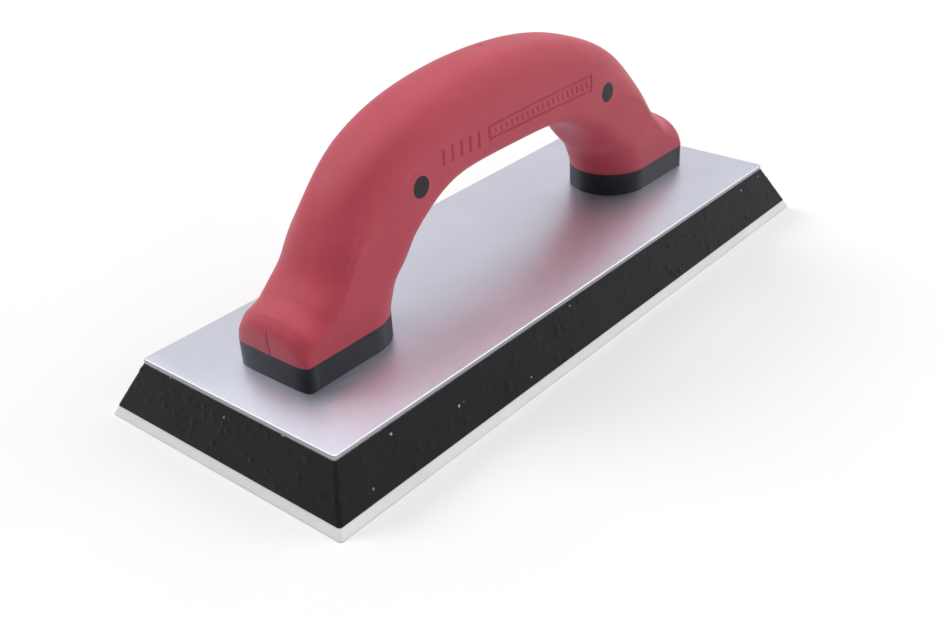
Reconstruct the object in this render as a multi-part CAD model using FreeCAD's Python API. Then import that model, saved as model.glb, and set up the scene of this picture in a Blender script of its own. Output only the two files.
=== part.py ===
import FreeCAD, Part
import math
import os

# Hand float with a bonded rubber face: an aluminium backing plate carries an arched handle on two feet, and
# a bevelled foam pad with a gum-rubber sole is glued under it. Millimetres, +Z up. The origin is on the
# ground, under the middle of the sole; the float is long along X and the handle arches over X.

# ---- blade: sole, pad and plate ----
sole_length = 254.0
sole_width = 101.6
sole_thickness = 3.2
sole_corner_radius = 1.2
pad_thickness = 13.9
plate_thickness = 1.6
plate_corner_radius = 1.0
plate_inset = 9.1          # how far the plate stops short of the sole on each side
glue_thickness = 0.2

# ---- handle ----
foot_margin = 15.9         # from each end of the plate to the foot's outer end
handle_rise = 72.0         # crest of the handle's control outline above the plate
foot_length = 44.5
foot_width = 30.5
grip_width = 28.2
grip_depth = 31.5          # from the crest down to the roof of the finger opening
band_height = 8.4          # the hard foot that shows below the soft grip
toe_height = 18.0          # lip of the toe above the plate
lean = 3.6                 # how far the crest stands back towards -X
grip_wall = 3.2            # soft skin moulded over the hard core

# ---- core details ----
boss_diameter = 7.0        # round pads where the core reaches both sides of the grip
boss_inset = 53.0          # from the foot's outer end to the boss over it
boss_offset = 1.0          # how far the two bosses stand towards +X of that
boss_drop = 27.2           # below the crest of the control outline
pocket_end_wall = 8.75     # from the foot's ends to the hollow in its underside
pocket_side_wall = 6.75    # from the foot's sides to the hollow
pocket_height = 14.5
pocket_radius = 3.0
rib_thickness = 2.4

# ---- screws ----
screw_diameter = 4.2
screw_length = 13.0        # under the head
screw_head_diameter = 8.0
screw_head_height = 2.0
screw_pitch = 15.0         # between the two screws of one foot
screw_post_wall = 2.4
drive_diameter = 3.0       # cross recess in the head
drive_width = 0.9
drive_depth = 1.1
point_length = 2.0
screw_fit = 0.15           # all round the shank in the core
plate_fit = 0.3            # all round the shank in the plate
head_fit = 0.5             # all round and below the head in the pad

# ---- derived levels and places ----
plate_length = sole_length - 2 * plate_inset
half_length = plate_length / 2 - foot_margin
opening_half = half_length - foot_length
opening_height = handle_rise - grip_depth
glue_below_pad = sole_thickness
pad_bottom = sole_thickness + glue_thickness
pad_top = pad_bottom + pad_thickness
plate_bottom = pad_top + glue_thickness
plate_top = plate_bottom + plate_thickness
foot_middle = half_length - foot_length / 2
boss_height = handle_rise - boss_drop
boss_places = [side * (half_length - boss_inset) + boss_offset for side in (-1, 1)]
screw_places = [side * (foot_middle + step * screw_pitch / 2) for side in (-1, 1) for step in (-1, 1)]

# Control points of the half outline seen from the side. The toe is measured from the foot's outer end; the
# arch is given as shares of the half length and of the rise above the band, and the opening the same way.
TOE = ((0.0, 0.0), (-0.5, 0.43), (0.0, 1.0))
TOE_LIP = ((4.0, 2.3), (10.0, 5.8))
ARCH = ((0.84, 0.315), (0.79, 0.48), (0.70, 0.655), (0.578, 0.81), (0.392, 0.937), (0.137, 1.0))
OPENING = ((1.0, 0.0), (0.99, 0.08), (0.975, 0.175), (0.955, 0.27), (0.915, 0.36), (0.87, 0.485),
           (0.815, 0.61), (0.745, 0.735), (0.625, 0.875), (0.435, 1.0), (0.14, 1.0))

# Cross-section along the handle: how many control points it holds for, then the palm-side cap's depth,
# squareness and fullness (under 1 it meets the flat side in a crease), the finger-side cap's depth and
# squareness, and the half width.
SECTIONS = (
    (2, (4.5, 6.0, 1.0, foot_width / 2, 2.0, foot_width / 2)),         # foot: square outside, round inside
    (1, (13.5, 2.8, 0.96, 14.5, 2.1, foot_width / 2)),                 # lip of the toe
    (1, (11.0, 2.1, 0.89, 14.5, 2.1, foot_width / 2)),                 # top of the toe
    (1, (8.5, 2.0, 0.97, 14.5, 2.1, foot_width / 2)),                  # hollow above the toe
    (2, (7.0, 2.0, 0.97, 12.0, 2.8, (foot_width + grip_width) / 4)),   # leg
    (4, (16.5, 3.0, 1.0, 7.5, 3.0, grip_width / 2)),                   # grip
)
STATIONS_PER_SPAN = 1
CAP_POINTS = 7             # along a quarter of a cap
CAP_SHARE = 0.92           # the two caps never take more than this share of a section's depth


def curve_point(poles, station):
    """Point of a uniform cubic B-spline; each pole is a tuple of numbers."""
    span = min(int(station), len(poles) - 4)
    t = station - span
    weights = ((1 - t) ** 3, 3 * t ** 3 - 6 * t * t + 4, -3 * t ** 3 + 3 * t * t + 3 * t + 1, t ** 3)
    near = poles[span:span + 4]
    return tuple(sum(w * pole[axis] for w, pole in zip(weights, near)) / 6 for axis in range(len(near[0])))


def handle_poles():
    """One pole per control point from end to end: back point, opening point and the section's six sizes."""
    toe_rise = toe_height - band_height
    rise = handle_rise - band_height
    back = [(half_length - inset, band_height + share * toe_rise) for inset, share in TOE]
    back += [(half_length - inset, toe_height + up) for inset, up in TOE_LIP]
    back += [(half_length * along, band_height + rise * up) for along, up in ARCH]
    roof = opening_height - band_height
    front = [(opening_half * along, band_height + roof * up) for along, up in OPENING]
    sizes = [size for count, size in SECTIONS for _ in range(count)]
    half = list(zip(back, front, sizes))
    poles = [pole_row(-1, *row) for row in half] + [pole_row(1, *row) for row in reversed(half)]
    return [poles[0]] * 2 + poles + [poles[-1]] * 2


def pole_row(side, back, front, sizes):
    """A control row on one half of the handle, leaned back in proportion to its height."""
    def leaned(point):
        x, z = point
        return side * x - lean * (z - band_height) / (handle_rise - band_height), z
    return leaned(back) + leaned(front) + tuple(sizes)


def cap(depth, power, fullness, half_width):
    """Superellipse cap from its side (full width, full depth down) round to its crown, as (y, drop) pairs."""
    start = math.acos(min(1.0, fullness ** (power / 2)))
    full_depth = depth / (1 - math.sin(start) ** (2 / power))
    points = []
    for k in range(CAP_POINTS + 1):
        angle = start + (math.pi / 2 - start) * k / CAP_POINTS
        y = half_width / fullness * math.cos(angle) ** (2 / power)
        drop = full_depth * (1 - math.sin(angle) ** (2 / power))
        points.append((y, drop))
    points[-1] = (0.0, 0.0)
    return points


def spline(points):
    curve = Part.BSplineCurve()
    curve.interpolate(points)
    return curve.toShape()


def handle_section(row, wall):
    """Closed wire of the section in the plane through its back and opening points, drawn in by a wall."""
    back_x, back_z, front_x, front_z = row[:4]
    back_cap, back_power, fullness, front_cap, front_power, half_width = row[4:]
    back = FreeCAD.Vector(back_x, 0, back_z + plate_top)
    front = FreeCAD.Vector(front_x, 0, front_z + plate_top)
    outward = (back - front).normalize()
    depth = (back - front).Length - 2 * wall
    shrink = min(1.0, CAP_SHARE * depth / (back_cap + front_cap - 2 * wall))
    ends = (
        (back - outward * wall, outward, (back_cap - wall) * shrink, back_power, fullness),
        (front + outward * wall, -outward, (front_cap - wall) * shrink, front_power, 1.0),
    )
    arcs = []
    for crown, direction, cap_depth, power, full in ends:
        half = cap(cap_depth, power, full, half_width - wall)
        round_trip = [(y, drop) for y, drop in half] + [(-y, drop) for y, drop in reversed(half[:-1])]
        arcs.append([crown - direction * drop + FreeCAD.Vector(0, y, 0) for y, drop in round_trip])
    back_arc, front_arc = arcs
    front_arc.reverse()
    edges = [
        spline(back_arc),
        Part.makeLine(back_arc[-1], front_arc[0]),
        spline(front_arc),
        Part.makeLine(front_arc[-1], back_arc[0]),
    ]
    return Part.Wire(edges)


def handle_body(wall):
    """The arched handle from the top of one foot band to the other, smaller by a wall all round."""
    poles = handle_poles()
    spans = len(poles) - 3
    rows = [curve_point(poles, k / STATIONS_PER_SPAN) for k in range(spans * STATIONS_PER_SPAN + 1)]
    return Part.makeLoft([handle_section(row, wall) for row in rows], True, False)


def foot_band(row):
    """Hard foot between the plate and the soft grip, with the outline of the handle's first section."""
    outline = Part.Face(handle_section(row, 0.0))
    return outline.extrude(FreeCAD.Vector(0, 0, -band_height))


def foot_pocket(side):
    """Hollow moulded up into a foot, round two screw posts joined by a rib."""
    pocket_length = foot_length - 2 * pocket_end_wall
    pocket_width = foot_width - 2 * pocket_side_wall
    corner = FreeCAD.Vector(side * foot_middle - pocket_length / 2, -pocket_width / 2, plate_top)
    hollow = Part.makeBox(pocket_length, pocket_width, pocket_height, corner)
    upright = [edge for edge in hollow.Edges if abs(edge.tangentAt(edge.FirstParameter).z) > 0.9]
    hollow = hollow.makeFillet(pocket_radius, upright)
    rib_corner = FreeCAD.Vector(corner.x, -rib_thickness / 2, plate_top)
    keep = Part.makeBox(pocket_length, rib_thickness, pocket_height, rib_corner)
    for step in (-1, 1):
        foot = FreeCAD.Vector(side * foot_middle + step * screw_pitch / 2, 0, plate_top)
        keep = keep.fuse(Part.makeCylinder(screw_diameter / 2 + screw_post_wall, pocket_height, foot))
    return hollow.cut(keep)


def screw_hole(x, radius, low, high):
    return Part.makeCylinder(radius, high - low, FreeCAD.Vector(x, 0, low))


def make_bridge(outer):
    """The part of the core inside the grip, with the round bosses that reach the grip's two sides."""
    bridge = handle_body(grip_wall)
    for x in boss_places:
        place = FreeCAD.Vector(x, -foot_width, plate_top + boss_height)
        rod = Part.makeCylinder(boss_diameter / 2, 2 * foot_width, place, FreeCAD.Vector(0, 1, 0))
        bridge = bridge.fuse(rod.common(outer))
    return bridge


def make_core(bridge):
    """Hard core: the bridge on its two feet, hollowed from below, with a pilot hole for each screw."""
    poles = handle_poles()
    core = bridge
    for row in (poles[0], poles[-1]):
        core = core.fuse(foot_band(row))
    for side in (-1, 1):
        core = core.cut(foot_pocket(side))
    for x in screw_places:
        top = plate_bottom + screw_length + point_length / 2
        core = core.cut(screw_hole(x, screw_diameter / 2 + screw_fit, plate_top, top))
    return core


def rounded_outline(length, width, radius, level):
    """Rounded rectangle centred on the Z axis."""
    corner = FreeCAD.Vector(-length / 2, -width / 2, level)
    block = Part.makeBox(length, width, 1.0, corner)
    upright = [edge for edge in block.Edges if abs(edge.tangentAt(edge.FirstParameter).z) > 0.9]
    face = min(block.makeFillet(radius, upright).Faces, key=lambda item: item.CenterOfMass.z)
    return face.OuterWire


def bevel_outline(level):
    """Outline of the bevelled blade at a level, from the sole's full size to the plate's size."""
    share = level / plate_bottom
    inset = 2 * plate_inset * share
    radius = sole_corner_radius + (plate_corner_radius - sole_corner_radius) * share
    return rounded_outline(sole_length - inset, sole_width - inset, radius, level)


def blade_layer(low, high):
    """One layer of the blade between two levels, its edges on the common bevel."""
    return Part.makeLoft([bevel_outline(low), bevel_outline(high)], True, True)


def make_sole():
    return blade_layer(0.0, sole_thickness)


def make_sole_glue():
    return blade_layer(glue_below_pad, pad_bottom)


def make_pad():
    """Foam pad with a pocket round each screw head."""
    pad = blade_layer(pad_bottom, pad_top)
    low = plate_bottom - screw_head_height - head_fit
    for x in screw_places:
        pad = pad.cut(screw_hole(x, screw_head_diameter / 2 + head_fit, low, pad_top))
    return pad


def make_plate_glue():
    glue = blade_layer(pad_top, plate_bottom)
    for x in screw_places:
        glue = glue.cut(screw_hole(x, screw_head_diameter / 2 + head_fit, pad_top, plate_bottom))
    return glue


def make_plate():
    """Sheet-metal plate with a clearance hole for each screw."""
    outline = bevel_outline(plate_bottom)
    plate = Part.Face(outline).extrude(FreeCAD.Vector(0, 0, plate_thickness))
    for x in screw_places:
        plate = plate.cut(screw_hole(x, screw_diameter / 2 + plate_fit, plate_bottom, plate_top))
    return plate


def make_screw(x):
    """Pan-head screw driven up through the plate, with a cross recess in its head and a tapered point."""
    head_low = plate_bottom - screw_head_height
    radius = screw_head_diameter / 2
    head = screw_hole(x, radius, head_low, plate_bottom)
    face = min(head.Faces, key=lambda item: item.CenterOfMass.z)
    head = head.makeFillet(screw_head_height / 2, face.Edges)
    shank_top = plate_bottom + screw_length - point_length
    shank = screw_hole(x, screw_diameter / 2, plate_bottom, shank_top)
    tip = FreeCAD.Vector(x, 0, shank_top)
    point = Part.makeCone(screw_diameter / 2, screw_diameter / 4, point_length, tip)
    screw = head.fuse([shank, point])
    for length, width in ((drive_diameter, drive_width), (drive_width, drive_diameter)):
        corner = FreeCAD.Vector(x - length / 2, -width / 2, head_low)
        screw = screw.cut(Part.makeBox(length, width, drive_depth, corner))
    return screw


def save(name, shape):
    """Write one closed solid to its STEP file."""
    solid = shape.removeSplitter()
    solids = solid.Solids
    if len(solids) != 1 or not solid.isValid():
        raise RuntimeError(f"{name} is not one valid solid")
    solids[0].exportStep(f"parts/{name}.step")


def main():
    os.makedirs("parts", exist_ok=True)
    outer = handle_body(0.0)
    bridge = make_bridge(outer)
    save("handle_core", make_core(bridge))
    save("handle_grip", outer.cut(bridge))
    save("backing_plate", make_plate())
    save("plate_adhesive", make_plate_glue())
    save("foam_pad", make_pad())
    save("sole_adhesive", make_sole_glue())
    save("rubber_sole", make_sole())
    for number, x in enumerate(screw_places, start=1):
        save(f"handle_screw_{number}", make_screw(x))


main()
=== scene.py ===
import math
import random
import bmesh
import bpy
import numpy as np
from mathutils import Matrix, Vector, noise


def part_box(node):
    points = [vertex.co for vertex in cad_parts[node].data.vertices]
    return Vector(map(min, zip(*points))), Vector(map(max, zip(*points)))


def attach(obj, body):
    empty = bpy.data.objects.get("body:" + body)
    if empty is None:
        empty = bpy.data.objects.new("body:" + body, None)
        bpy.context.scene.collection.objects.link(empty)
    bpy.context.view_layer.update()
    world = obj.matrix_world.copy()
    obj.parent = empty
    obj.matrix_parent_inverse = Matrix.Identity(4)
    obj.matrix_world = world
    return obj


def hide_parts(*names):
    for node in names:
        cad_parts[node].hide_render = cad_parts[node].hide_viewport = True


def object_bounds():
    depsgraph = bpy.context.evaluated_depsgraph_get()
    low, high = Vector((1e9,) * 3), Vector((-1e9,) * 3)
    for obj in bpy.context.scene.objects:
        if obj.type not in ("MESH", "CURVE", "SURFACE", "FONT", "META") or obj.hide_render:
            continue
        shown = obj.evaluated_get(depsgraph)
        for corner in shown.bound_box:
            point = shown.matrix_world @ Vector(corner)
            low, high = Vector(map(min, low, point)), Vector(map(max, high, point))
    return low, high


# Looks of a rubber-faced hand float: soft-touch grip moulded over a black core, satin aluminium plate,
# foam pad and gum-rubber sole. Meshes are worked out in millimetres and turned into metres with MM.

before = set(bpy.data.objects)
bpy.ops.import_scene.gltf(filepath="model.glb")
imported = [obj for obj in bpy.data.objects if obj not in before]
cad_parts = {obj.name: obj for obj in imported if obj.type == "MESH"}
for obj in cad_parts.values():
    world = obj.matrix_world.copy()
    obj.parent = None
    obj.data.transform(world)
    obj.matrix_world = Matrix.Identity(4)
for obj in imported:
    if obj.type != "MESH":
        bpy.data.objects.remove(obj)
cad_low, cad_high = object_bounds()

MM = 0.001
ROOT = "root"
SHARP_ANGLE = math.radians(38)        # faces that meet at more than this show a hard edge

# ---- blade, taken from the frame ----
_, sole_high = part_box("rubber_sole")
pad_low, pad_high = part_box("foam_pad")
plate_low, plate_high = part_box("backing_plate")
PLATE_TOP = plate_high.z / MM
BEVEL_SLOPE = (sole_high.x - plate_high.x) / plate_low.z      # inset of the blade's edge per unit of height
SOLE_CORNER = 1.2
PLATE_CORNER = 1.0

# ---- handle, with the CAD handle's control outline: millimetres, heights above the plate ----
HALF_LENGTH = plate_high.x / MM - 15.9
FOOT_LENGTH = 44.5
FOOT_WIDTH = 30.5
GRIP_WIDTH = 28.2
HANDLE_RISE = 72.0
OPENING_RISE = 40.5
BAND_HEIGHT = 8.4
TOE_HEIGHT = 18.0
LEAN = 3.6
GRIP_WALL = 3.2
CAP_SHARE = 0.92
BOSS_RADIUS = 3.5
BOSS_RISE = 44.8
BOSS_INSET = 53.0
BOSS_OFFSET = 1.0
TOE = ((0.0, 0.0), (-0.5, 0.43), (0.0, 1.0))
TOE_LIP = ((4.0, 2.3), (10.0, 5.8))
ARCH = ((0.84, 0.315), (0.79, 0.48), (0.70, 0.655), (0.578, 0.81), (0.392, 0.937), (0.137, 1.0))
OPENING = ((1.0, 0.0), (0.99, 0.08), (0.975, 0.175), (0.955, 0.27), (0.915, 0.36), (0.87, 0.485),
           (0.815, 0.61), (0.745, 0.735), (0.625, 0.875), (0.435, 1.0), (0.14, 1.0))
# How many control points a section holds for, then palm-side cap (depth, squareness, fullness),
# finger-side cap (depth, squareness) and half width.
SECTIONS = (
    (2, (4.5, 6.0, 1.0, FOOT_WIDTH / 2, 2.0, FOOT_WIDTH / 2)),
    (1, (13.5, 2.8, 0.96, 14.5, 2.1, FOOT_WIDTH / 2)),
    (1, (11.0, 2.1, 0.89, 14.5, 2.1, FOOT_WIDTH / 2)),
    (1, (8.5, 2.0, 0.97, 14.5, 2.1, FOOT_WIDTH / 2)),
    (2, (7.0, 2.0, 0.97, 12.0, 2.8, (FOOT_WIDTH + GRIP_WIDTH) / 4)),
    (4, (16.5, 3.0, 1.0, 7.5, 3.0, GRIP_WIDTH / 2)),
)

# ---- screws under the feet ----
FOOT_MIDDLE = HALF_LENGTH - FOOT_LENGTH / 2
SCREW_PITCH = 15.0
SCREW_PLACES = [side * (FOOT_MIDDLE + step * SCREW_PITCH / 2) for side in (-1, 1) for step in (-1, 1)]
PLATE_HOLE_RADIUS = 2.4
PAD_POCKET_RADIUS = 4.5
PAD_POCKET_DEPTH = 2.3


# ======================================================================== meshes

def add_object(name, mesh):
    piece = bpy.data.objects.new(name, mesh)
    bpy.context.scene.collection.objects.link(piece)
    return piece


def finish_mesh(build, name):
    """Turn a bmesh into an object with outward faces, smooth except at its real edges."""
    bmesh.ops.recalc_face_normals(build, faces=build.faces)
    for face in build.faces:
        face.smooth = True
    for edge in build.edges:
        edge.smooth = edge.calc_face_angle(0.0) < SHARP_ANGLE
    mesh = bpy.data.meshes.new(name)
    build.to_mesh(mesh)
    build.free()
    return add_object(name, mesh)


def add_ring(build, points):
    return [build.verts.new(Vector(point) * MM) for point in points]


def bridge(build, lower, upper):
    """Quads between two rings with the same number of points."""
    count = len(lower)
    for k in range(count):
        after = (k + 1) % count
        build.faces.new((lower[k], lower[after], upper[after], upper[k]))


def cut_away(piece, cutter):
    """Subtract the cutter from the piece for good."""
    change = piece.modifiers.new("cut", "BOOLEAN")
    change.operation = "DIFFERENCE"
    change.solver = "EXACT"
    change.object = cutter
    bpy.context.view_layer.update()
    graph = bpy.context.evaluated_depsgraph_get()
    mesh = bpy.data.meshes.new_from_object(piece.evaluated_get(graph))
    piece.modifiers.clear()
    piece.data = mesh
    bpy.data.objects.remove(cutter)
    build = bmesh.new()
    build.from_mesh(mesh)
    for edge in build.edges:
        edge.smooth = edge.calc_face_angle(0.0) < SHARP_ANGLE
    build.to_mesh(mesh)
    build.free()


ROD_SIDES = 64


def rods(places, radius, axis, low, high):
    """Cutter made of round rods along Y or Z, one per place; each place gives the other two coordinates."""
    build = bmesh.new()
    for first, second in places:
        ends = []
        for level in (low, high):
            ring = []
            for k in range(ROD_SIDES):
                angle = 2 * math.pi * k / ROD_SIDES
                u = first + radius * math.cos(angle)
                v = second + radius * math.sin(angle)
                ring.append((u, level, v) if axis == "Y" else (u, v, level))
            ends.append(add_ring(build, ring))
        bridge(build, *ends)
        for end in ends:
            build.faces.new(end)
    return finish_mesh(build, "cutter")


# ======================================================================== handle

CAP_SAMPLES = 240
BACK_STEPS = 26            # across half of the palm-side cap, closer together towards its crown
BACK_CROWDING = 1.5
MARKED_SHARE = 0.24        # lower part of the near half of that cap, which the marks run onto
MARKED_STEPS = 18
FRONT_STEPS = 16
NEAR_SIDE_STEPS = 34       # the flat side that carries the moulded marks
FAR_SIDE_STEPS = 12
FINE_STEP = 0.28           # along the handle where the marks are
COARSE_STEP = 1.3
TOE_STEP = 0.5
MARKED_HALF = 43.0         # how far from the middle the marks may reach
INNER_STEP = 3.0           # along the hidden inner surface
STATION_SAMPLES = 40       # per control row, when the handle's length is measured


def handle_poles():
    """Control rows from end to end: back x, z, front x, z and the section's six sizes."""
    rise = HANDLE_RISE - BAND_HEIGHT
    toe_rise = TOE_HEIGHT - BAND_HEIGHT
    back = [(HALF_LENGTH - inset, BAND_HEIGHT + share * toe_rise) for inset, share in TOE]
    back += [(HALF_LENGTH - inset, TOE_HEIGHT + up) for inset, up in TOE_LIP]
    back += [(HALF_LENGTH * along, BAND_HEIGHT + rise * up) for along, up in ARCH]
    half_opening = HALF_LENGTH - FOOT_LENGTH
    roof = OPENING_RISE - BAND_HEIGHT
    front = [(half_opening * along, BAND_HEIGHT + roof * up) for along, up in OPENING]
    sizes = [size for count, size in SECTIONS for _ in range(count)]

    def row(side, outer, inner, size):
        lean = [LEAN * (point[1] - BAND_HEIGHT) / rise for point in (outer, inner)]
        return (side * outer[0] - lean[0], outer[1], side * inner[0] - lean[1], inner[1]) + size
    half = list(zip(back, front, sizes))
    poles = [row(-1, *each) for each in half] + [row(1, *each) for each in reversed(half)]
    return np.array([poles[0]] * 2 + poles + [poles[-1]] * 2)


def handle_row(poles, station):
    """Row of the uniform cubic B-spline through the control rows."""
    span = min(int(station), len(poles) - 4)
    t = station - span
    cube = t ** 3
    weights = np.array([(1 - t) ** 3, 3 * cube - 6 * t * t + 4, -3 * cube + 3 * t * t + 3 * t + 1, cube])
    return weights @ poles[span:span + 4] / 6


def handle_stations(poles, step_at):
    """Stations spaced along the handle by step_at(x), both ends included."""
    dense = np.linspace(0, len(poles) - 3, STATION_SAMPLES * len(poles))
    rows = np.array([handle_row(poles, station) for station in dense])
    middle = (rows[:, 0:2] + rows[:, 2:4]) / 2
    lengths = np.linalg.norm(np.diff(middle, axis=0), axis=1)
    steps = np.array([step_at(x) for x in middle[1:, 0]])
    cells = np.concatenate([[0.0], np.cumsum(lengths / steps)])
    count = int(math.ceil(cells[-1]))
    return np.interp(np.linspace(0, cells[-1], count + 1), cells, dense)


def cap_curve(depth, power, fullness, half_width, shares):
    """Points (y, drop) of a superellipse quarter at shares of its length from the side to the crown."""
    start = math.acos(min(1.0, fullness ** (power / 2)))
    full_depth = depth / (1 - math.sin(start) ** (2 / power))
    angle = np.linspace(start, math.pi / 2, CAP_SAMPLES)
    y = half_width / fullness * np.clip(np.cos(angle), 0, 1) ** (2 / power)
    drop = full_depth * (1 - np.sin(angle) ** (2 / power))
    run = np.concatenate([[0.0], np.cumsum(np.hypot(np.diff(y), np.diff(drop)))])
    wanted = np.asarray(shares) * run[-1]
    return np.interp(wanted, run, y), np.interp(wanted, run, drop)


def handle_ring(row, wall):
    """Closed ring of the section drawn in by a wall: palm cap, near side, finger cap, far side."""
    back = np.array([row[0], 0.0, row[1]])
    front = np.array([row[2], 0.0, row[3]])
    depth = np.linalg.norm(back - front) - 2 * wall
    outward = (back - front) / np.linalg.norm(back - front)
    back_cap, back_power, fullness, front_cap, front_power, half_width = row[4:]
    shrink = min(1.0, CAP_SHARE * depth / (back_cap + front_cap - 2 * wall))

    def cap(crown, direction, size, power, full, shares):
        y, drop = cap_curve((size - wall) * shrink, power, full, half_width - wall, shares)
        half = crown - np.outer(drop, direction)
        half[:, 1] = y
        return half
    crowded = 1 - (1 - np.linspace(0, 1, BACK_STEPS + 1)) ** BACK_CROWDING
    low_part = np.linspace(0, MARKED_SHARE, MARKED_STEPS, endpoint=False)
    marked = np.concatenate([low_part, MARKED_SHARE + (1 - MARKED_SHARE) * crowded])
    mirror = np.array([1.0, -1.0, 1.0])
    palm_crown = back - outward * wall
    palm_far = cap(palm_crown, outward, back_cap, back_power, fullness, crowded)
    palm_near = cap(palm_crown, outward, back_cap, back_power, fullness, marked) * mirror
    even = np.linspace(0, 1, FRONT_STEPS + 1)
    finger = cap(front + outward * wall, -outward, front_cap, front_power, 1.0, even)
    palm_arc = np.vstack([palm_far, palm_near[-2::-1]])
    finger_arc = np.vstack([finger * mirror, finger[-2::-1]])

    def side(start, end, steps):
        share = np.linspace(0, 1, steps + 1)[1:-1, None]
        return start + (end - start) * share
    near = side(palm_arc[-1], finger_arc[0], NEAR_SIDE_STEPS)
    far = side(finger_arc[-1], palm_arc[0], FAR_SIDE_STEPS)
    return np.vstack([palm_arc, near, finger_arc, far])


def soft_mask(distance, half_width, softness):
    """1 inside a stroke, 0 outside it, with a soft wall."""
    share = np.clip((half_width + softness / 2 - distance) / softness, 0, 1)
    return share * share * (3 - 2 * share)


MARK_DEPTH = 0.42
STROKE_HALF = 0.42
STROKE_SOFT = 0.36
BAR_STROKE = 1.3           # width of the bars' and the frame's strokes against the ribs'
FRAME_STROKE = 0.8
BAR_PLACES = (-37.6, -33.4, -29.2, -25.0, -20.8)
BAR_MIDDLE = 50.6
BAR_HALF = 2.1
PANEL_LEFT = -15.6
PANEL_RIGHT = 39.8
PANEL_MIDDLE = 51.1
PANEL_BOW = 0.3
PANEL_HALF_LEFT = 2.1
PANEL_HALF_RIGHT = 2.7
RIB_PITCH = 2.75
RIB_SLANT = 0.35
RIB_DEPTH = 0.3
RIB_MARGIN = 1.35          # between the frame's line and the ribs' ends


def side_marks(x, z):
    """Depth of the plain moulded marks on the near side: five bars, then a framed panel of slanted ribs."""
    depth = np.zeros_like(x)
    for place in BAR_PLACES:
        beyond = np.maximum(np.abs(z - BAR_MIDDLE) - BAR_HALF, 0)
        bar = soft_mask(np.hypot(x - place, beyond), STROKE_HALF * BAR_STROKE, STROKE_SOFT)
        depth = np.maximum(depth, MARK_DEPTH * bar)
    along = (x - PANEL_LEFT) / (PANEL_RIGHT - PANEL_LEFT)
    half_height = PANEL_HALF_LEFT + (PANEL_HALF_RIGHT - PANEL_HALF_LEFT) * along
    u = x - (PANEL_LEFT + PANEL_RIGHT) / 2
    v = z - PANEL_MIDDLE - PANEL_BOW * (1 - (2 * along - 1) ** 2)
    over_u = np.abs(u) - (PANEL_RIGHT - PANEL_LEFT) / 2
    over_v = np.abs(v) - half_height
    outside = np.hypot(np.maximum(over_u, 0), np.maximum(over_v, 0))
    to_frame = outside + np.minimum(np.maximum(over_u, over_v), 0)
    line = soft_mask(np.abs(to_frame), STROKE_HALF * FRAME_STROKE, STROKE_SOFT)
    depth = np.maximum(depth, MARK_DEPTH * line)
    phase = (u + RIB_SLANT * v) / RIB_PITCH
    to_rib = np.abs(phase - np.round(phase)) * RIB_PITCH
    inside = soft_mask(to_frame + RIB_MARGIN, 0.0, STROKE_SOFT)
    return np.maximum(depth, RIB_DEPTH * inside * soft_mask(to_rib, STROKE_HALF, STROKE_SOFT))


LIP_TOP = 20.4
LIP_FOOT = 9.6
LIP_HALF = 16.2
LIP_POWER = 2.5
LIP_RIDGE = 0.7
LIP_HOLLOW = 0.5
LIP_WIDTH = 0.95
HOLLOW_RISE = 2.6          # of the hollow's middle above the ridge, in lip widths
HOLLOW_WIDTH = 1.5
LIP_REACH = 14.0           # how far in from the end the lip is still felt
LIP_FADE = 6.0
SEAM_Y = -0.8
SEAM_TOP = 17.0
SEAM_HALF = 0.2
SEAM_SOFT = 0.5
SEAM_DEPTH = 0.45
GATE = (1.6, 3.0)
GATE_RADIUS = 0.9
GATE_SOFT = 1.0
GATE_DEPTH = 0.35
NEAR_SIDE = -0.44 * GRIP_WIDTH        # beyond this the ring is on the side that carries the marks
END_REACH = 4.0
CREST_REACH = 4.0


def lip_height(y):
    """Height of the rolled lip that frames each toe's flat end face, an arch over the handle's width."""
    share = np.clip(1 - np.abs(y / LIP_HALF) ** LIP_POWER, 0, 1)
    return LIP_FOOT + (LIP_TOP - LIP_FOOT) * np.sqrt(share)


def toe_lip(x, y, z):
    """Outward push of the lip: a low ridge with a shallow hollow behind it."""
    above = z - lip_height(y)
    ridge = LIP_RIDGE * np.exp(-(above / LIP_WIDTH) ** 2)
    hollow = LIP_HOLLOW * np.exp(-((above - HOLLOW_RISE * LIP_WIDTH) / (HOLLOW_WIDTH * LIP_WIDTH)) ** 2)
    near_end = np.clip((np.abs(x) - HALF_LENGTH + LIP_REACH) / LIP_FADE, 0, 1)
    return np.sign(x) * (ridge - hollow) * near_end


def mould_details(ring):
    """Press the marks, the toe's lip and parting line and the gate mark into one outer ring."""
    x, y, z = ring.T.copy()
    ring[:, 0] += toe_lip(x, y, z)
    near = (y < NEAR_SIDE) & (np.abs(x) < MARKED_HALF)
    ring[:, 1] += np.where(near, side_marks(x, z), 0)
    end = (np.abs(x) > HALF_LENGTH - END_REACH) & (z > BAND_HEIGHT)
    groove = SEAM_DEPTH * soft_mask(np.abs(y - SEAM_Y), SEAM_HALF, SEAM_SOFT) * np.clip(SEAM_TOP - z, 0, 1)
    ring[:, 0] -= np.where(end, np.sign(x) * groove, 0)
    top = z > HANDLE_RISE - CREST_REACH
    to_gate = np.hypot(x - GATE[0], y - GATE[1])
    ring[:, 2] -= np.where(top, GATE_DEPTH * soft_mask(to_gate, GATE_RADIUS, GATE_SOFT), 0)


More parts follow.
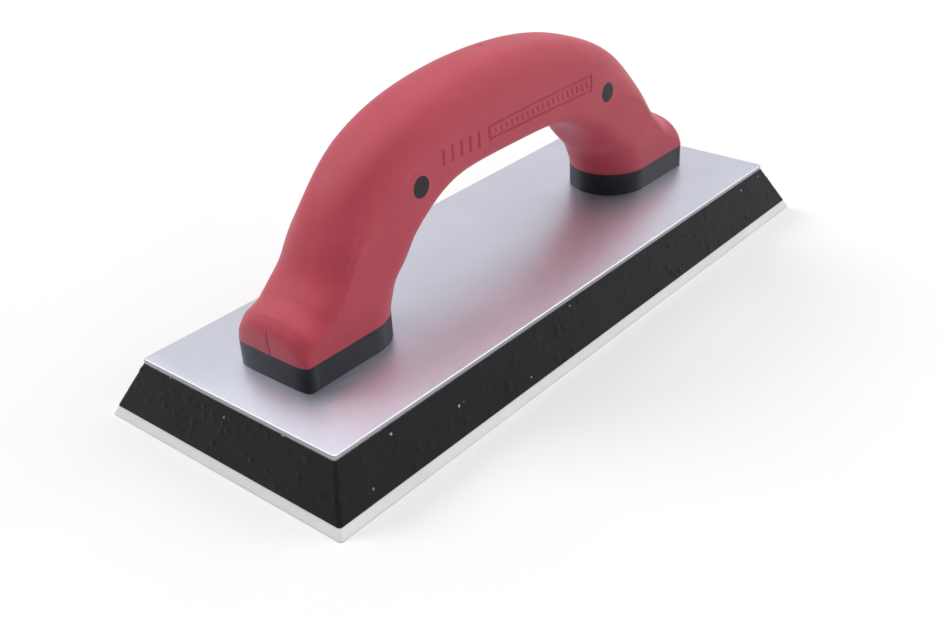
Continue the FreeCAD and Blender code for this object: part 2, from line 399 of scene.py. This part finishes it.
def make_grip():
    """Soft skin over the core: outer surface, inner surface, the two rims and the four boss openings."""
    poles = handle_poles()
    build = bmesh.new()

    def surface(stations, wall, details):
        rings = []
        for station in stations:
            ring = handle_ring(handle_row(poles, station), wall)
            if details:
                mould_details(ring)
            ring[:, 2] += PLATE_TOP
            rings.append(add_ring(build, ring))
        for lower, upper in zip(rings, rings[1:]):
            bridge(build, lower, upper)
        return rings

    def step_at(x):
        if abs(x) < MARKED_HALF:
            return FINE_STEP
        return TOE_STEP if abs(x) > HALF_LENGTH - FOOT_LENGTH else COARSE_STEP
    outer = surface(handle_stations(poles, step_at), 0.0, True)
    inner = surface(handle_stations(poles, lambda x: INNER_STEP), GRIP_WALL, False)
    for end in (0, -1):
        bridge(build, outer[end], inner[end])
    grip = finish_mesh(build, "soft_grip")
    reach = FOOT_WIDTH
    places = [(side * (HALF_LENGTH - BOSS_INSET) + BOSS_OFFSET, PLATE_TOP + BOSS_RISE) for side in (-1, 1)]
    cut_away(grip, rods(places, BOSS_RADIUS, "Y", -reach, reach))
    return grip


# ======================================================================== blade

ARC_STEPS = 6


def outline(half_x, half_y, radius, step):
    """Rounded rectangle as a ring of points with the same count for any size near the sole's."""
    long_steps = max(1, round(2 * sole_high.x / MM / step))
    short_steps = max(1, round(2 * sole_high.y / MM / step))
    points = []
    corners = (
        (1, -1, -90, short_steps),
        (1, 1, 0, long_steps),
        (-1, 1, 90, short_steps),
        (-1, -1, 180, long_steps),
    )
    for sx, sy, start, _ in corners:
        centre = (sx * (half_x - radius), sy * (half_y - radius))
        for k in range(ARC_STEPS + 1):
            angle = math.radians(start + 90 * k / ARC_STEPS)
            points.append((centre[0] + radius * math.cos(angle), centre[1] + radius * math.sin(angle)))
    ring = []
    for index, (_, _, _, steps) in enumerate(corners):
        arc = points[index * (ARC_STEPS + 1):(index + 1) * (ARC_STEPS + 1)]
        ring += arc
        start = arc[-1]
        end = points[((index + 1) * (ARC_STEPS + 1)) % len(points)]
        for k in range(1, steps):
            share = k / steps
            ring.append((start[0] + (end[0] - start[0]) * share, start[1] + (end[1] - start[1]) * share))
    return ring


def slab(name, levels, step, change=None):
    """Closed slab through (height, inset from the sole's edge, corner radius) levels, from the bottom up."""
    build = bmesh.new()
    half_x = sole_high.x / MM
    half_y = sole_high.y / MM
    rings = []
    for height, inset, radius in levels:
        ring = [(x, y, height) for x, y in outline(half_x - inset, half_y - inset, radius, step)]
        if change:
            ring = [change(point) for point in ring]
        rings.append(add_ring(build, ring))
    for lower, upper in zip(rings, rings[1:]):
        bridge(build, lower, upper)
    for end in (rings[0], rings[-1]):
        build.faces.new(end)
    return finish_mesh(build, name)


ROUND_STEPS = 4


def edge_levels(low, high, inset_at, radius_at, low_round, high_round):
    """Levels of a slab whose bottom and top edges are rounded in by the given radii."""
    quarter = [math.radians(90 * k / ROUND_STEPS) for k in range(ROUND_STEPS + 1)]
    levels = []
    for angle in quarter:
        height = low + low_round * (1 - math.cos(angle))
        levels.append((height, inset_at(height) + low_round * (1 - math.sin(angle)), radius_at(height)))
    for angle in reversed(quarter):
        height = high - high_round * (1 - math.cos(angle))
        levels.append((height, inset_at(height) + high_round * (1 - math.sin(angle)), radius_at(height)))
    return levels


def bevel_inset(height):
    return BEVEL_SLOPE * height


def bevel_corner(height):
    return SOLE_CORNER + (PLATE_CORNER - SOLE_CORNER) * height / (plate_low.z / MM)


PLATE_EDGE_ROUND = 0.4
PLATE_BURR_ROUND = 0.15
PLATE_STEP = 4.0


def make_plate():
    """Sheet plate with rolled edges and the four screw holes."""
    inset = (sole_high.x - plate_high.x) / MM
    levels = edge_levels(plate_low.z / MM, PLATE_TOP, lambda height: inset, lambda height: PLATE_CORNER,
                         PLATE_BURR_ROUND, PLATE_EDGE_ROUND)
    plate = slab("plate_sheet", levels, PLATE_STEP)
    places = [(x, 0.0) for x in SCREW_PLACES]
    cut_away(plate, rods(places, PLATE_HOLE_RADIUS, "Z", plate_low.z / MM - 1, PLATE_TOP + 1))
    return plate


PAD_STEP = 0.7
PAD_ROWS = 26
PAD_CLEAR = 0.02
WAVE_HEIGHT = 0.18         # slow unevenness of the cut foam
WAVE_LENGTH = 14
GRAIN_HEIGHT = 0.07
GRAIN_LENGTH = 1.6
EDGE_FADE = 1.0            # the unevenness dies out this close to the pad's top and bottom
PIT_COUNT = 420
PIT_RADIUS = (0.5, 1.25)
PIT_DEPTH = (0.15, 0.45)


def make_pad():
    """Foam pad: bevelled sides with the slight waves and open pits of cut foam, and the screw pockets."""
    draw = random.Random(11)
    low = pad_low.z / MM + PAD_CLEAR
    high = pad_high.z / MM - PAD_CLEAR
    half_x = sole_high.x / MM
    half_y = sole_high.y / MM
    pits = []
    for _ in range(PIT_COUNT):
        height = draw.uniform(low, high)
        run = draw.uniform(0, 4 * (half_x + half_y))
        inset = bevel_inset(height)
        side = draw.choice((-1, 1))
        if run < 4 * half_x:
            place = Vector((run / 2 - half_x, side * (half_y - inset), height))
        else:
            place = Vector((side * (half_x - inset), (run - 4 * half_x) / 2 - half_y, height))
        pits.append((place, draw.uniform(*PIT_RADIUS), draw.uniform(*PIT_DEPTH)))
    centres = np.array([pit[0] for pit in pits])
    radii = np.array([pit[1] for pit in pits])
    depths = np.array([pit[2] for pit in pits])

    def roughen(point):
        spot = Vector(point)
        wave = noise.noise(spot / WAVE_LENGTH) * WAVE_HEIGHT + noise.noise(spot / GRAIN_LENGTH) * GRAIN_HEIGHT
        distance = np.linalg.norm(centres - np.array(point), axis=1)
        pit = float(np.max(depths * np.clip(1 - (distance / radii) ** 2, 0, 1)))
        fade = min(1.0, (point[2] - low) / EDGE_FADE, (high - point[2]) / EDGE_FADE)
        move = -(WAVE_HEIGHT + GRAIN_HEIGHT) / 2 + (wave / 2 - pit) * max(fade, 0.0)
        reach_x = half_x - bevel_inset(point[2]) - abs(spot.x)
        reach_y = half_y - bevel_inset(point[2]) - abs(spot.y)
        if reach_x < reach_y:
            spot.x += math.copysign(move, spot.x)
        else:
            spot.y += math.copysign(move, spot.y)
        return tuple(spot)
    levels = []
    for k in range(PAD_ROWS + 1):
        height = low + (high - low) * k / PAD_ROWS
        levels.append((height, bevel_inset(height), bevel_corner(height)))
    pad = slab("foam_block", levels, PAD_STEP, roughen)
    places = [(x, 0.0) for x in SCREW_PLACES]
    cut_away(pad, rods(places, PAD_POCKET_RADIUS, "Z", high - PAD_POCKET_DEPTH, high + 1))
    return pad


SOLE_EDGE_ROUND = 0.45
SOLE_TOP_ROUND = 0.25
SOLE_STEP = 3.0
SOLE_WAVE = 0.12
SOLE_WAVE_LENGTH = 17


def make_sole():
    """Gum-rubber sheet with softened edges and a slightly uneven trimmed side."""
    levels = edge_levels(0.0, sole_high.z / MM, bevel_inset, bevel_corner, SOLE_EDGE_ROUND, SOLE_TOP_ROUND)

    def trimmed(point):
        spot = Vector(point)
        place = Vector((spot.x / SOLE_WAVE_LENGTH, spot.y / SOLE_WAVE_LENGTH, 3.0))
        move = -SOLE_WAVE * (0.5 + 0.5 * noise.noise(place))
        scale_x = 1 + move * MM / sole_high.x
        scale_y = 1 + move * MM / sole_high.y
        return spot.x * scale_x, spot.y * scale_y, spot.z
    return slab("sole_sheet", levels, SOLE_STEP, trimmed)


BEAD_WIDTH = 0.7
BEAD_HEIGHT = 0.75
BEAD_SIZE = 0.5            # a drop's reach from its middle against its length, width and height
BEAD_LUMPS = 0.22
LUMP_PITCH = 1.7
# Squeezed-out glue along the plate's lower edge: place along the edge, which edge, bead length.
GLUE_BEADS = (
    (-111.4, "back", 2.4), (-103.0, "back", 1.2), (64.0, "back", 1.8),
    (-21.6, "heel", 1.5), (28.0, "heel", 0.9), (12.0, "toe", 1.6),
)


def make_glue_beads():
    """Small flattened drops of dried glue, each with its own uneven shape."""
    edge_x = plate_high.x / MM
    edge_y = plate_high.y / MM
    height = plate_low.z / MM
    build = bmesh.new()
    for number, (along, edge, length) in enumerate(GLUE_BEADS):
        if edge == "back":
            centre = Vector((along, edge_y, height))
            size = Vector((length, BEAD_WIDTH, BEAD_HEIGHT))
        else:
            centre = Vector((edge_x if edge == "toe" else -edge_x, along, height))
            size = Vector((BEAD_WIDTH, length, BEAD_HEIGHT))
        made = bmesh.ops.create_icosphere(build, subdivisions=3, radius=1.0)
        for vert in made["verts"]:
            place = vert.co * LUMP_PITCH + Vector((number * 5.0, 0, 0))
            lump = BEAD_SIZE + BEAD_LUMPS * noise.noise(place)
            grown = Vector((vert.co.x * size.x, vert.co.y * size.y, vert.co.z * size.z)) * lump
            vert.co = (centre + grown) * MM
    return finish_mesh(build, "glue_beads")


# ======================================================================== materials

class Surface:
    """Short way to write a procedural material in object coordinates, in millimetres."""

    def __init__(self, name, **constants):
        self.material = bpy.data.materials.new(name)
        self.material.use_nodes = True
        self.tree = self.material.node_tree
        self.shader = self.tree.nodes["Principled BSDF"]
        for socket, value in constants.items():
            self.shader.inputs[socket.replace("_", " ")].default_value = value
        self.coordinates = self.node("ShaderNodeTexCoord").outputs["Object"]
        self.surface_normal = None

    def node(self, kind, **settings):
        made = self.tree.nodes.new(kind)
        for key, value in settings.items():
            setattr(made, key, value)
        return made

    def link(self, source, target):
        self.tree.links.new(source, target)

    def place(self, stretch=(1, 1, 1), turn=(0, 0, 0)):
        """Coordinates in millimetres divided by the stretch along each axis."""
        mapping = self.node("ShaderNodeMapping")
        mapping.inputs["Scale"].default_value = [1 / MM / each for each in stretch]
        mapping.inputs["Rotation"].default_value = turn
        self.link(self.coordinates, mapping.inputs["Vector"])
        return mapping.outputs["Vector"]

    def noise(self, scale, detail=4.0, rough=0.55, stretch=(1, 1, 1), turn=(0, 0, 0)):
        made = self.node("ShaderNodeTexNoise")
        made.inputs["Scale"].default_value = scale
        made.inputs["Detail"].default_value = detail
        made.inputs["Roughness"].default_value = rough
        self.link(self.place(stretch, turn), made.inputs["Vector"])
        return made.outputs["Fac"]

    def cells(self, scale, output="Distance"):
        made = self.node("ShaderNodeTexVoronoi")
        made.inputs["Scale"].default_value = scale
        self.link(self.place(), made.inputs["Vector"])
        return made.outputs[output]

    def remap(self, value, low, high, to_low=0.0, to_high=1.0):
        made = self.node("ShaderNodeMapRange", clamp=True)
        for socket, number in zip(("From Min", "From Max", "To Min", "To Max"), (low, high, to_low, to_high)):
            made.inputs[socket].default_value = number
        self.link(value, made.inputs["Value"])
        return made.outputs["Result"]

    def math(self, operation, first, second):
        made = self.node("ShaderNodeMath", operation=operation)
        for socket, value in zip(made.inputs, (first, second)):
            if isinstance(value, (int, float)):
                socket.default_value = value
            else:
                self.link(value, socket)
        return made.outputs["Value"]

    def blend(self, share, first, second):
        """Colour between two colours; each is a linear triple or another node's colour."""
        made = self.node("ShaderNodeMix", data_type="RGBA")
        factor, a, b = made.inputs["Factor"], made.inputs[6], made.inputs[7]
        self.link(share, factor)
        for socket, value in ((a, first), (b, second)):
            if isinstance(value, tuple):
                socket.default_value = value + (1.0,)
            else:
                self.link(value, socket)
        return made.outputs[2]

    def bump(self, height, distance, strength=1.0):
        """Add a layer of relief; distance in millimetres."""
        made = self.node("ShaderNodeBump")
        made.inputs["Strength"].default_value = strength
        made.inputs["Distance"].default_value = distance * MM
        self.link(height, made.inputs["Height"])
        if self.surface_normal is not None:
            self.link(self.surface_normal, made.inputs["Normal"])
        self.surface_normal = made.outputs["Normal"]

    def done(self, colour, roughness):
        self.link(colour, self.shader.inputs["Base Color"])
        self.link(roughness, self.shader.inputs["Roughness"])
        if self.surface_normal is not None:
            self.link(self.surface_normal, self.shader.inputs["Normal"])
        return self.material


def edges(surface, low, high):
    """Mask of convex edges, or of hollows where low is above high."""
    geometry = surface.node("ShaderNodeNewGeometry")
    return surface.remap(geometry.outputs["Pointiness"], low, high)


def grip_material():
    surface = Surface("soft_touch_red", Specular_IOR_Level=0.3, Sheen_Weight=0.26, Sheen_Roughness=0.42)
    surface.shader.inputs["Sheen Tint"].default_value = (1.0, 0.72, 0.76, 1.0)
    cloud = surface.noise(0.045, 5.0, 0.6)
    smear = surface.noise(0.11, 4.0, 0.6, stretch=(3.0, 1.0, 1.0))
    grain = surface.noise(5.5, 3.0, 0.6)
    colour = surface.blend(surface.remap(cloud, 0.32, 0.68), (0.455, 0.052, 0.079), (0.51, 0.063, 0.095))
    colour = surface.blend(surface.remap(smear, 0.58, 0.82, 0.0, 0.35), colour, (0.55, 0.095, 0.13))
    colour = surface.blend(edges(surface, 0.56, 0.70), colour, (0.55, 0.10, 0.13))
    # Painted shade: darker red in the hollows and creases.
    colour = surface.blend(edges(surface, 0.47, 0.40), colour, (0.20, 0.022, 0.034))
    roughness = surface.remap(smear, 0.3, 0.7, 0.50, 0.62)
    surface.bump(grain, 0.03, 0.5)
    surface.bump(surface.noise(0.35, 3.0), 0.08, 0.35)
    return surface.done(colour, roughness)


def core_material():
    surface = Surface("black_satin_plastic", Specular_IOR_Level=0.24)
    cloud = surface.noise(0.16, 4.0)
    scuffs = surface.noise(0.8, 5.0, 0.7, stretch=(4.0, 4.0, 0.5))
    colour = surface.blend(surface.remap(cloud, 0.3, 0.7), (0.013, 0.0135, 0.019), (0.021, 0.022, 0.029))
    colour = surface.blend(surface.remap(scuffs, 0.62, 0.8, 0.0, 0.4), colour, (0.085, 0.087, 0.10))
    roughness = surface.remap(scuffs, 0.3, 0.75, 0.34, 0.5)
    surface.bump(surface.noise(4.0, 3.0), 0.03, 0.4)
    return surface.done(colour, roughness)


def cut_side_and_painted_end_shade(surface):
    """Mask of the plate's cut sides, duller than its face; at the two ends the rolled corner is darkened too,
    as painted shade.
    """
    geometry = surface.node("ShaderNodeNewGeometry")
    split = surface.node("ShaderNodeSeparateXYZ")
    surface.link(geometry.outputs["Normal"], split.inputs["Vector"])
    sides = surface.remap(split.outputs["Z"], 0.55, 0.25)
    # Painted shade: at the two ends the rolled corner and sides are darkened, though their finish is the same
    # as along the long sides.
    ends = surface.remap(surface.math("MULTIPLY", split.outputs["X"], split.outputs["X"]), 0.06, 0.25)
    return surface.math("MAXIMUM", sides, ends)


def plate_material():
    surface = Surface("satin_aluminium", Metallic=0.94)
    lines = surface.noise(3.2, 4.0, 0.65, stretch=(28.0, 1.0, 1.0))
    cloud = surface.noise(0.03, 5.0, 0.6)
    marks = surface.noise(0.5, 6.0, 0.7, stretch=(5.0, 1.0, 1.0), turn=(0, 0, 0.5))
    stains = surface.noise(0.09, 6.0, 0.75)
    colour = surface.blend(surface.remap(cloud, 0.3, 0.7), (0.72, 0.735, 0.85), (0.78, 0.79, 0.90))
    colour = surface.blend(surface.remap(lines, 0.4, 0.7, 0.0, 0.30), colour, (0.85, 0.855, 0.94))
    colour = surface.blend(surface.remap(stains, 0.66, 0.8, 0.0, 0.30), colour, (0.66, 0.66, 0.74))
    # Darker grey on the cut sides, plus painted shade on the rolled corners at the two ends.
    colour = surface.blend(cut_side_and_painted_end_shade(surface), colour, (0.42, 0.42, 0.44))
    satin = surface.remap(lines, 0.3, 0.7, 0.35, 0.42)
    roughness = surface.math("ADD", satin, surface.remap(marks, 0.6, 0.8, 0.0, 0.1))
    surface.bump(lines, 0.03, 0.6)
    surface.bump(surface.noise(0.06, 3.0), 0.25, 0.2)
    return surface.done(colour, roughness)


def foam_material():
    surface = Surface("black_foam_rubber", Specular_IOR_Level=0.22, Sheen_Weight=0.1, Sheen_Roughness=0.45)
    pores = surface.cells(2.1)
    fine = surface.noise(3.5, 5.0, 0.65)
    cloud = surface.noise(0.07, 4.0)
    dust = surface.cells(0.42, output="Color")
    dust_spot = surface.cells(0.42)
    dust_pick = surface.remap(dust, 0.86, 0.90)
    dust_dot = surface.remap(dust_spot, 0.22, 0.12)
    specks = surface.math("MULTIPLY", dust_pick, dust_dot)
    colour = surface.blend(surface.remap(cloud, 0.3, 0.7), (0.0055, 0.0058, 0.0075), (0.009, 0.0095, 0.0118))
    # Painted shade: darker at the bottom of the pore pits.
    colour = surface.blend(surface.remap(pores, 0.25, 0.0, 0.0, 0.6), colour, (0.004, 0.004, 0.005))
    colour = surface.blend(surface.remap(fine, 0.62, 0.8, 0.0, 0.25), colour, (0.045, 0.045, 0.05))
    colour = surface.blend(specks, colour, (0.42, 0.43, 0.44))
    roughness = surface.remap(fine, 0.3, 0.7, 0.52, 0.72)
    surface.bump(pores, 0.22, 0.35)
    surface.bump(fine, 0.10, 0.5)
    return surface.done(colour, roughness)


def sole_material():
    surface = Surface("pale_gum_rubber", Specular_IOR_Level=0.4)
    cloud = surface.noise(0.05, 5.0, 0.6)
    layers = surface.noise(0.9, 4.0, 0.6, stretch=(20.0, 20.0, 0.7))
    dirt = surface.noise(0.5, 6.0, 0.75)
    colour = surface.blend(surface.remap(cloud, 0.3, 0.7), (0.80, 0.80, 0.81), (0.86, 0.86, 0.875))
    colour = surface.blend(surface.remap(layers, 0.5, 0.75, 0.0, 0.3), colour, (0.72, 0.715, 0.71))
    colour = surface.blend(surface.remap(dirt, 0.66, 0.82, 0.0, 0.35), colour, (0.50, 0.49, 0.47))
    roughness = surface.remap(layers, 0.3, 0.7, 0.5, 0.66)
    surface.bump(layers, 0.06, 0.35)
    surface.bump(surface.noise(3.0, 4.0), 0.04, 0.5)
    return surface.done(colour, roughness)


def glue_material():
    surface = Surface("dried_glue", Specular_IOR_Level=0.5)
    surface.shader.inputs["Subsurface Weight"].default_value = 0.15
    surface.shader.inputs["Subsurface Scale"].default_value = 1.0 * MM
    cloud = surface.noise(0.7, 4.0)
    colour = surface.blend(surface.remap(cloud, 0.35, 0.65), (0.22, 0.205, 0.09), (0.36, 0.34, 0.19))
    roughness = surface.remap(cloud, 0.3, 0.7, 0.3, 0.5)
    surface.bump(surface.noise(2.5, 3.0), 0.08, 0.5)
    return surface.done(colour, roughness)


def glue_line_material():
    surface = Surface("glue_line", Specular_IOR_Level=0.45)
    cloud = surface.noise(0.5, 5.0, 0.7)
    colour = surface.blend(surface.remap(cloud, 0.45, 0.75), (0.035, 0.034, 0.036), (0.16, 0.155, 0.12))
    roughness = surface.remap(cloud, 0.3, 0.7, 0.45, 0.65)
    surface.bump(surface.noise(2.0, 3.0), 0.05, 0.5)
    return surface.done(colour, roughness)


def screw_material():
    surface = Surface("zinc_plated_steel", Metallic=1.0)
    turned = surface.noise(2.0, 3.0, 0.6, stretch=(1.0, 1.0, 0.15))
    cloud = surface.noise(0.4, 4.0)
    colour = surface.blend(surface.remap(cloud, 0.3, 0.7), (0.50, 0.50, 0.49), (0.62, 0.61, 0.57))
    roughness = surface.remap(turned, 0.3, 0.7, 0.25, 0.42)
    surface.bump(turned, 0.03, 0.4)
    return surface.done(colour, roughness)


def floor_material():
    surface = Surface("pale_sweep", Specular_IOR_Level=0.1)
    cloud = surface.noise(0.004, 3.0)
    colour = surface.blend(surface.remap(cloud, 0.3, 0.7), (0.845, 0.845, 0.845), (0.865, 0.865, 0.865))
    roughness = surface.remap(cloud, 0.3, 0.7, 0.85, 0.95)
    return surface.done(colour, roughness)


def dress(piece, material):
    """Give every material slot of the piece this material."""
    if not piece.data.materials:
        piece.data.materials.append(material)
    for index in range(len(piece.material_slots)):
        piece.material_slots[index].link = "OBJECT"
        piece.material_slots[index].material = material


# ======================================================================== stage

FLOOR_HALF = 4.0           # metres
FLOOR_CUTS = 8
CAMERA_AZIMUTH = -48.71
CAMERA_ELEVATION = 30.33
CAMERA_ROLL = -3.02
CAMERA_DISTANCE = 0.3954
CAMERA_AIM = Vector((-0.0232, -0.0097, -0.0407))      # aim point from the middle of the object's box
CAMERA_LENS = 44.52
ROOM_LIGHT = 0.65
DARK_LIGHT = 0.12
DARK_SIDE_AZIMUTH = -86.0
DARK_SIDE_ELEVATION = 26.0


def direction(azimuth, elevation):
    """Unit vector from the object towards a viewer; azimuth 0 stands on -Y."""
    turn = math.radians(azimuth)
    tilt = math.radians(elevation)
    return Vector((math.sin(turn) * math.cos(tilt), -math.cos(turn) * math.cos(tilt), math.sin(tilt)))


def make_camera():
    data = bpy.data.cameras.new("view")
    data.lens = CAMERA_LENS
    data.sensor_width = 36.0
    data.clip_start = 0.01
    camera = add_object("view", data)
    back = direction(CAMERA_AZIMUTH, CAMERA_ELEVATION)
    roll = Matrix.Rotation(math.radians(CAMERA_ROLL), 4, "Z")
    aim = (cad_low + cad_high) / 2 + CAMERA_AIM
    facing = (-back).to_track_quat("-Z", "Y").to_matrix().to_4x4()
    camera.matrix_world = Matrix.Translation(aim + back * CAMERA_DISTANCE) @ facing @ roll
    bpy.context.scene.camera = camera


def make_light(name, azimuth, elevation, spread, strength):
    """Distant soft light; spread is the angle it fills, in degrees."""
    data = bpy.data.lights.new(name, "SUN")
    data.angle = math.radians(spread)
    data.energy = strength
    light = add_object(name, data)
    toward = direction(azimuth, elevation)
    light.location = toward
    light.rotation_euler = toward.to_track_quat("Z", "Y").to_euler()


def make_floor():
    build = bmesh.new()
    corners = [(-1, -1), (1, -1), (1, 1), (-1, 1)]
    build.faces.new([build.verts.new((x * FLOOR_HALF, y * FLOOR_HALF, 0.0)) for x, y in corners])
    bmesh.ops.subdivide_edges(build, edges=build.edges[:], cuts=FLOOR_CUTS, use_grid_fill=True)
    floor = finish_mesh(build, "floor")
    dress(floor, floor_material())


def make_world():
    """Soft room light, dimmer from one side; behind the floor's edge it shows as plain white."""
    world = bpy.data.worlds.new("soft_room")
    world.use_nodes = True
    tree = world.node_tree
    background = tree.nodes["Background"]
    coordinates = tree.nodes.new("ShaderNodeTexCoord")
    facing = tree.nodes.new("ShaderNodeVectorMath")
    facing.operation = "DOT_PRODUCT"
    facing.inputs[1].default_value = direction(DARK_SIDE_AZIMUTH, DARK_SIDE_ELEVATION)
    dim = tree.nodes.new("ShaderNodeMapRange")
    dim.interpolation_type = "SMOOTHSTEP"
    limits = {"From Min": -0.1, "From Max": 0.8, "To Min": ROOM_LIGHT, "To Max": DARK_LIGHT}
    for socket, value in limits.items():
        dim.inputs[socket].default_value = value
    tree.links.new(coordinates.outputs["Generated"], facing.inputs[0])
    tree.links.new(facing.outputs["Value"], dim.inputs["Value"])
    rays = tree.nodes.new("ShaderNodeLightPath")
    shown = tree.nodes.new("ShaderNodeMath")
    shown.operation = "MAXIMUM"
    tree.links.new(dim.outputs["Result"], shown.inputs[0])
    tree.links.new(rays.outputs["Is Camera Ray"], shown.inputs[1])
    tree.links.new(shown.outputs["Value"], background.inputs["Strength"])
    background.inputs["Color"].default_value = (1.0, 1.0, 1.0, 1.0)
    bpy.context.scene.world = world
    bpy.context.scene.view_settings.view_transform = "Standard"


# ======================================================================== assembly

def add_piece(piece, node, material):
    """A Blender piece that stands for one CAD node."""
    dress(piece, material)
    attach(piece, ROOT)
    if node:
        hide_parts(node)


def main():
    make_camera()
    make_world()
    make_floor()
    make_light("key", azimuth=-163, elevation=40, spread=24, strength=0.95)
    make_light("top", azimuth=180, elevation=86, spread=64, strength=1.65)
    make_light("fill", azimuth=56, elevation=30, spread=34, strength=0.5)
    add_piece(make_grip(), "handle_grip", grip_material())
    add_piece(make_plate(), "backing_plate", plate_material())
    pad = make_pad()
    add_piece(pad, "foam_pad", foam_material())
    add_piece(make_sole(), "rubber_sole", sole_material())
    add_piece(make_glue_beads(), None, glue_material())
    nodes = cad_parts
    dress(nodes["handle_core"], core_material())
    glue_line = glue_line_material()
    dress(nodes["plate_adhesive"], glue_line)
    dress(nodes["sole_adhesive"], glue_line)
    steel = screw_material()
    for name, node in sorted(nodes.items()):
        if name.startswith("handle_screw"):
            dress(node, steel)


main()
